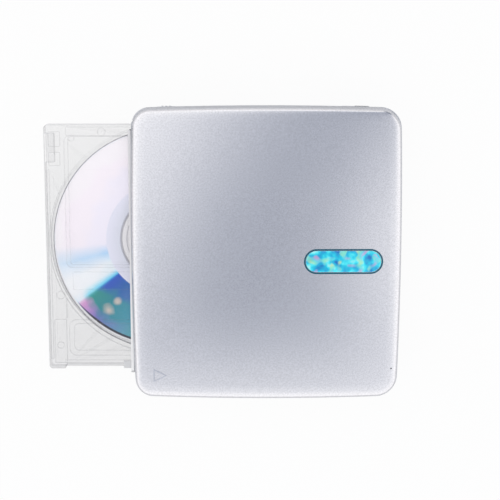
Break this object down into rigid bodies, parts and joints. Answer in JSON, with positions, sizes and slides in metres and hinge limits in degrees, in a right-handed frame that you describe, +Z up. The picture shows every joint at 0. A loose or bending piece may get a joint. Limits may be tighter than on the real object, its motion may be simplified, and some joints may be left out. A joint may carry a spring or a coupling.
{
  "type": "portable minidisc player",
  "caption": "Flat pocket disc player with a bowed square metal case, hinged lid, side keys and a clear disc cartridge half inserted in its side slot.",
  "frame": {"origin": "centre of the player's underside, without the cartridge that sticks out", "axes": "+X towards the lid's hinge side, away from the disc slot; +Y towards the side with the headphone socket; +Z up"},
  "size_m": [0.1036, 0.0864, 0.0174],
  "materials": {
    "lid_metal": "fine satin grain",
    "case_metal": "satin",
    "key_metal": "silver lacquer",
    "dark_plastic": "moulded",
    "trim_plastic": "satin",
    "clear_plastic": "clear moulded",
    "tab_plastic": "moulded",
    "disc_layer": "mirrored",
    "hub_plastic": "satin",
    "bright_steel": "ground",
    "gold_contact": "plated",
    "board_green": "solder mask",
    "chip_black": "moulded",
    "rubber": "matt",
    "gear_plastic": "acetal",
    "pinion_brass": "turned",
    "coil_copper": "enamelled",
    "cast_metal": "die cast",
    "lens_glass": "polished",
    "cell_can": "printed sleeve",
    "badge_rim": "gloss",
    "badge_cyan": "pearl"
  },
  "bodies": {
    "base": {"bottom_cover": "case_metal", "side_frame": "case_metal", "case_screws": "bright_steel", "charge_contacts": "gold_contact", "hinge_pins": "bright_steel", "chassis_plate": "bright_steel", "shock_mounts": "rubber", "support_posts": "gear_plastic", "detect_switch": "chip_black", "guide_rods": "bright_steel", "main_board": "board_green", "board_chips": "chip_black", "spindle_stator": "cast_metal", "stator_coils": "coil_copper", "feed_motor": "bright_steel", "gear_post": "bright_steel", "battery_cell": "cell_can", "battery_sleeve": "dark_plastic", "battery_contact": "gold_contact", "door_pins": "bright_steel", "jack_housing": "dark_plastic", "remote_connector": "dark_plastic", "key_switches": "chip_black", "key_board": "board_green"},
    "lid": {"lid_cover": "lid_metal", "lid_frame": "bright_steel", "latch_catch": "bright_steel", "badge_bezel": "badge_rim", "badge_lens": "badge_cyan"},
    "holder": {"holder_tray": "bright_steel", "slot_lip": "trim_plastic", "holder_springs": "bright_steel"},
    "cartridge": {"cartridge_upper_shell": "clear_plastic", "cartridge_lower_shell": "clear_plastic"},
    "shutter_slider": {"shutter": "bright_steel"},
    "protect_slider": {"protect_tab": "tab_plastic"},
    "disc_rotor": {"disc": "disc_layer", "disc_hub": "hub_plastic"},
    "spindle": {"spindle_rotor": "bright_steel", "turntable_magnet": "bright_steel"},
    "sled": {"pickup_sled": "cast_metal", "sled_rack": "gear_plastic", "objective_lens": "lens_glass"},
    "feed_wheel": {"feed_gear": "gear_plastic"},
    "pinion": {"motor_pinion": "pinion_brass"},
    "hold_slider": {"hold_switch": "key_metal", "hold_mark": "dark_plastic"},
    "release_slider": {"open_slider": "key_metal"},
    "door": {"battery_door": "case_metal", "door_contact": "gold_contact"},
    "previous_button_cap": {"previous_button": "key_metal"},
    "play_button_cap": {"play_button": "key_metal"},
    "next_button_cap": {"next_button": "key_metal"},
    "stop_button_cap": {"stop_button": "key_metal"},
    "volume_down_button_cap": {"volume_down_button": "key_metal"},
    "volume_up_button_cap": {"volume_up_button": "key_metal"}
  },
  "joints": [
    {"name": "lid_hinge", "type": "hinge", "parent": "base", "child": "lid", "pos_m": [0.0362, 0, 0.0124], "axis": [0, 1, 0], "range_deg": [0, 14]},
    {"name": "holder_hinge", "type": "hinge", "parent": "base", "child": "holder", "pos_m": [0.0362, 0, 0.0124], "axis": [0, 1, 0], "range_deg": [0, 7]},
    {"name": "cartridge_slide", "type": "slide", "parent": "holder", "child": "cartridge", "axis": [1, 0, 0], "range_m": [-0.044, 0.0261]},
    {"name": "disc_spin", "type": "hinge", "parent": "cartridge", "child": "disc_rotor", "pos_m": [-0.0301, 0.0044, 0.0119], "axis": [0, 0, 1], "continuous": true},
    {"name": "shutter_slide", "type": "slide", "parent": "cartridge", "child": "shutter_slider", "axis": [-1, 0, 0], "range_m": [0, 0.017], "stiffness_N_per_m": 20, "springref_m": -0.005},
    {"name": "protect_slide", "type": "slide", "parent": "cartridge", "child": "protect_slider", "axis": [0, -1, 0], "range_m": [0, 0.003]},
    {"name": "spindle_spin", "type": "hinge", "parent": "base", "child": "spindle", "pos_m": [-0.004, 0.0044, 0.005], "axis": [0, 0, 1], "continuous": true},
    {"name": "sled_slide", "type": "slide", "parent": "base", "child": "sled", "axis": [0, -1, 0], "range_m": [0, 0.0165]},
    {"name": "feed_gear_spin", "type": "hinge", "parent": "base", "child": "feed_wheel", "pos_m": [-0.02173, -0.0184, 0.003], "axis": [0, 0, -1], "range_deg": [0, 400]},
    {"name": "motor_pinion_spin", "type": "hinge", "parent": "base", "child": "pinion", "pos_m": [-0.02866, -0.0184, 0.003], "axis": [0, 0, 1], "range_deg": [0, 1430]},
    {"name": "hold_slide", "type": "slide", "parent": "base", "child": "hold_slider", "axis": [-1, 0, 0], "range_m": [0, 0.0018]},
    {"name": "release_slide", "type": "slide", "parent": "base", "child": "release_slider", "axis": [1, 0, 0], "range_m": [0, 0.0025], "stiffness_N_per_m": 100, "springref_m": -0.001},
    {"name": "battery_door_hinge", "type": "hinge", "parent": "base", "child": "door", "pos_m": [0.0241, -0.0412, 0.0024], "axis": [1, 0, 0], "range_deg": [0, 80]},
    {"name": "previous_button_press", "type": "slide", "parent": "base", "child": "previous_button_cap", "axis": [0, 1, 0], "range_m": [0, 0.00035], "stiffness_N_per_m": 120, "springref_m": -0.0004},
    {"name": "play_button_press", "type": "slide", "parent": "base", "child": "play_button_cap", "axis": [0, 1, 0], "range_m": [0, 0.00035], "stiffness_N_per_m": 120, "springref_m": -0.0004},
    {"name": "next_button_press", "type": "slide", "parent": "base", "child": "next_button_cap", "axis": [0, 1, 0], "range_m": [0, 0.00035], "stiffness_N_per_m": 120, "springref_m": -0.0004},
    {"name": "stop_button_press", "type": "slide", "parent": "base", "child": "stop_button_cap", "axis": [0, 1, 0], "range_m": [0, 0.00035], "stiffness_N_per_m": 120, "springref_m": -0.0004},
    {"name": "volume_down_button_press", "type": "slide", "parent": "base", "child": "volume_down_button_cap", "axis": [0, 1, 0], "range_m": [0, 0.00035], "stiffness_N_per_m": 120, "springref_m": -0.0004},
    {"name": "volume_up_button_press", "type": "slide", "parent": "base", "child": "volume_up_button_cap", "axis": [0, 1, 0], "range_m": [0, 0.00035], "stiffness_N_per_m": 120, "springref_m": -0.0004}
  ],
  "couplings": [
    {"joint": "holder_hinge", "follows": "lid_hinge", "ratio": 0.5},
    {"joint": "feed_gear_spin", "follows": "sled_slide", "rad_per_m": 416.67},
    {"joint": "motor_pinion_spin", "follows": "sled_slide", "rad_per_m": 1500}
  ]
}
